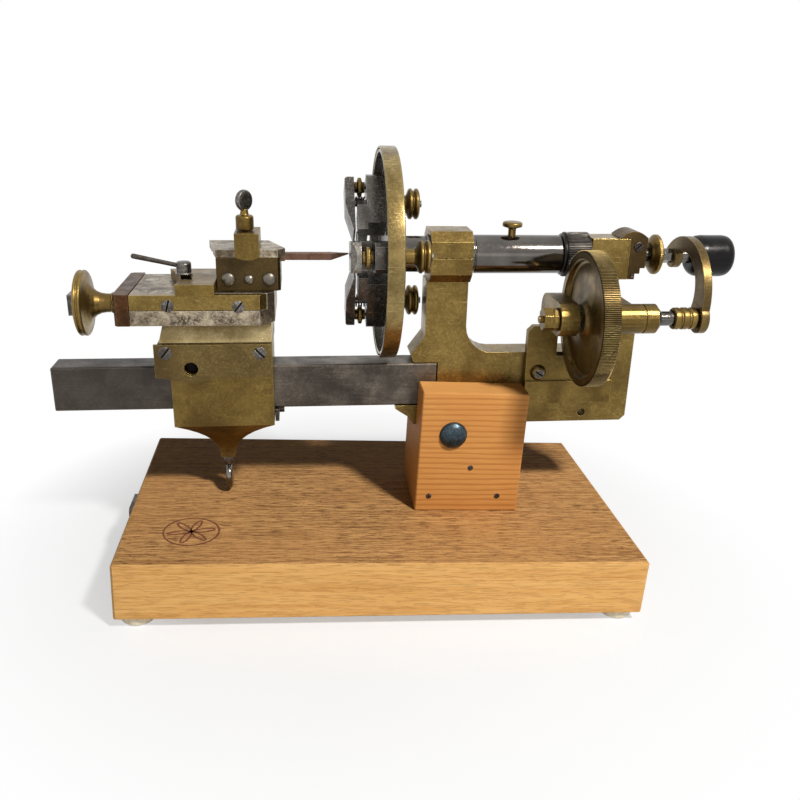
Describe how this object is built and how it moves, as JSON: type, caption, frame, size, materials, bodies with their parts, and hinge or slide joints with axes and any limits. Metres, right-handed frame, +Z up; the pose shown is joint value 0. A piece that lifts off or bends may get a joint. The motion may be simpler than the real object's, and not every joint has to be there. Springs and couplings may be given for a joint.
{
  "type": "watchmaker's hand-cranked mandrel lathe on a wooden stand",
  "caption": "Hand-cranked watchmaker's mandrel lathe with dog faceplate, gear drive and screw-fed slide rest on a steel bar, held in a pine block on a wooden base.",
  "frame": {"origin": "middle of the whole part seen from above, on the plane that the feet stand on", "axes": "+X towards the crank handle, +Y away from the viewer, +Z up; the lathe itself leans 2.25 degrees in its block, right end up"},
  "size_m": [0.3014, 0.1274, 0.1892],
  "materials": {
    "pine": "bare aged pine",
    "board": "brown stained",
    "cream": "soft matt",
    "steel": "aged, lightly pitted",
    "dark": "dark patina",
    "brass": "aged, dull",
    "copper": "dark brown patina",
    "ebony": "black polished",
    "blued": "dark blue-grey"
  },
  "bodies": {
    "stand": {"base_board": "board", "foot_front_left": "cream", "foot_front_right": "cream", "foot_rear_left": "cream", "foot_rear_right": "cream", "wood_block": "pine", "block_bolt": "blued", "bed_bar": "dark", "headstock_frame": "brass", "bearing_cap": "brass", "rear_cap": "brass", "gear_bracket": "brass", "gear_pivot_screw": "brass", "crank_bush": "steel"},
    "mandrel": {"mandrel_tube": "steel", "faceplate": "steel", "faceplate_band": "brass", "pinion": "steel", "work_disc": "steel"},
    "lock": {"lock_screw": "brass"},
    "pump_centre": {"centre_rod": "steel", "centre_knob": "brass"},
    "crank": {"gear_wheel": "brass", "crank_shaft": "steel", "crank_collar": "brass", "crank_arm": "brass", "handle_pin": "steel"},
    "grip": {"handle": "ebony"},
    "saddle": {"saddle_block": "brass", "saddle_front_plate": "brass", "saddle_gib": "steel"},
    "saddle_clamp": {"saddle_clamp_screw": "steel"},
    "top_slide": {"cross_slide": "brass", "slide_bed": "steel", "slide_strip": "brass", "slide_end_block": "copper"},
    "hand_wheel": {"handwheel": "brass", "lead_screw": "steel"},
    "carriage": {"carriage_plate": "brass", "tool_block": "brass", "tool_plate": "steel", "clamp_column": "brass"},
    "clamp": {"clamp_lever": "steel"},
    "tool_clamp": {"tool_thumb_screw": "steel"},
    "tool": {"tool_bar": "steel"},
    "dog_near": {"dog_near_base": "steel", "dog_near_spring": "steel"},
    "dog_near_jaw": {"dog_near_finger": "steel"},
    "dog_near_jack": {"dog_near_jack_nut": "brass"},
    "dog_near_nut": {"dog_near_back_nut": "brass"},
    "dog_top": {"dog_top_base": "steel", "dog_top_spring": "steel"},
    "dog_top_jaw": {"dog_top_finger": "steel"},
    "dog_top_jack": {"dog_top_jack_nut": "brass"},
    "dog_top_nut": {"dog_top_back_nut": "brass"},
    "dog_low": {"dog_low_base": "steel", "dog_low_spring": "steel"},
    "dog_low_jaw": {"dog_low_finger": "steel"},
    "dog_low_jack": {"dog_low_jack_nut": "brass"},
    "dog_low_nut": {"dog_low_back_nut": "brass"}
  },
  "joints": [
    {"name": "crank_spin", "type": "hinge", "parent": "stand", "child": "crank", "pos_m": [0.07888, -0.02745, 0.12609], "axis": [0.9992, 0, 0.0393], "continuous": true},
    {"name": "mandrel_spin", "type": "hinge", "parent": "stand", "child": "mandrel", "pos_m": [-0.01189, 0.00365, 0.14394], "axis": [0.9992, 0, 0.0393], "continuous": true},
    {"name": "handle_spin", "type": "hinge", "parent": "crank", "child": "grip", "pos_m": [0.13802, 0.00485, 0.14903], "axis": [0.9992, 0, 0.0393], "continuous": true},
    {"name": "lock_turn", "type": "hinge", "parent": "mandrel", "child": "lock", "pos_m": [0.04667, 0.00365, 0.15625], "axis": [-0.0393, 0, 0.9992], "range_deg": [-30, 330]},
    {"name": "centre_draw", "type": "slide", "parent": "mandrel", "child": "pump_centre", "axis": [0.9992, 0, 0.0393], "range_m": [0, 0.002]},
    {"name": "saddle_slide", "type": "slide", "parent": "stand", "child": "saddle", "axis": [0.9992, 0, 0.0393], "range_m": [-0.028, 0.001]},
    {"name": "saddle_clamp_turn", "type": "hinge", "parent": "saddle", "child": "saddle_clamp", "pos_m": [-0.07621, 0.00365, 0.05134], "axis": [-0.0393, 0, 0.9992], "range_deg": [-180, 360]},
    {"name": "cross_feed", "type": "slide", "parent": "saddle", "child": "top_slide", "axis": [0, 1, 0], "range_m": [-0.005, 0.004]},
    {"name": "carriage_feed", "type": "slide", "parent": "top_slide", "child": "carriage", "axis": [0.9992, 0, 0.0393], "range_m": [-0.0056, 0.001]},
    {"name": "handwheel_turn", "type": "hinge", "parent": "top_slide", "child": "hand_wheel", "pos_m": [-0.13094, 0.00615, 0.11735], "axis": [0.9992, 0, 0.0393], "range_deg": [-2530, 460]},
    {"name": "clamp_turn", "type": "hinge", "parent": "carriage", "child": "clamp", "pos_m": [-0.09419, 0.00325, 0.1347], "axis": [-0.0393, 0, 0.9992], "range_deg": [-70, 60]},
    {"name": "tool_clamp_turn", "type": "hinge", "parent": "carriage", "child": "tool_clamp", "pos_m": [-0.06854, -0.00235, 0.16173], "axis": [-0.0393, 0, 0.9992], "range_deg": [-30, 360]},
    {"name": "tool_draw", "type": "slide", "parent": "carriage", "child": "tool", "axis": [0.9992, 0, 0.0393], "range_m": [-0.008, 0.0008]},
    {"name": "dog_near_slide", "type": "slide", "parent": "mandrel", "child": "dog_near", "axis": [-0.0055, -0.9903, 0.1391], "range_m": [0, 0.004]},
    {"name": "dog_near_open", "type": "slide", "parent": "dog_near", "child": "dog_near_jaw", "axis": [-0.9992, 0, -0.0393], "range_m": [0, 0.0015], "deforming": ["dog_near_spring"]},
    {"name": "dog_near_jack_turn", "type": "hinge", "parent": "dog_near", "child": "dog_near_jack", "pos_m": [-0.01877, -0.02863, 0.14821], "axis": [0.9992, 0, 0.0393], "continuous": true},
    {"name": "dog_near_nut_turn", "type": "hinge", "parent": "dog_near", "child": "dog_near_nut", "pos_m": [0.00296, -0.02071, 0.14795], "axis": [0.9992, 0, 0.0393], "range_deg": [-1080, 0]},
    {"name": "dog_top_slide", "type": "slide", "parent": "mandrel", "child": "dog_top", "axis": [-0.0309, 0.6157, 0.7874], "range_m": [0, 0.004]},
    {"name": "dog_top_open", "type": "slide", "parent": "dog_top", "child": "dog_top_jaw", "axis": [-0.9992, 0, -0.0393], "range_m": [0, 0.0015], "deforming": ["dog_top_spring"]},
    {"name": "dog_top_jack_turn", "type": "hinge", "parent": "dog_top", "child": "dog_top_jack", "pos_m": [-0.0196, 0.02372, 0.16935], "axis": [0.9992, 0, 0.0393], "continuous": true},
    {"name": "dog_top_nut_turn", "type": "hinge", "parent": "dog_top", "child": "dog_top_nut", "pos_m": [0.00233, 0.01879, 0.1639], "axis": [0.9992, 0, 0.0393], "range_deg": [-1080, 0]},
    {"name": "dog_low_slide", "type": "slide", "parent": "mandrel", "child": "dog_low", "axis": [0.0364, 0.3746, -0.9265], "range_m": [0, 0.004]},
    {"name": "dog_low_open", "type": "slide", "parent": "dog_low", "child": "dog_low_jaw", "axis": [-0.9992, 0, -0.0393], "range_m": [0, 0.0015], "deforming": ["dog_low_spring"]},
    {"name": "dog_low_jack_turn", "type": "hinge", "parent": "dog_low", "child": "dog_low_jack", "pos_m": [-0.0174, 0.01586, 0.11347], "axis": [0.9992, 0, 0.0393], "continuous": true},
    {"name": "dog_low_nut_turn", "type": "hinge", "parent": "dog_low", "child": "dog_low_nut", "pos_m": [0.00399, 0.01286, 0.12174], "axis": [0.9992, 0, 0.0393], "range_deg": [-1080, 0]}
  ],
  "couplings": [
    {"joint": "mandrel_spin", "follows": "crank_spin", "ratio": -2.963},
    {"joint": "handwheel_turn", "follows": "carriage_feed", "rad_per_m": 7854},
    {"joint": "dog_near_open", "follows": "dog_near_nut_turn", "m_per_rad": -0.000079577},
    {"joint": "dog_top_open", "follows": "dog_top_nut_turn", "m_per_rad": -0.000079577},
    {"joint": "dog_low_open", "follows": "dog_low_nut_turn", "m_per_rad": -0.000079577}
  ]
}
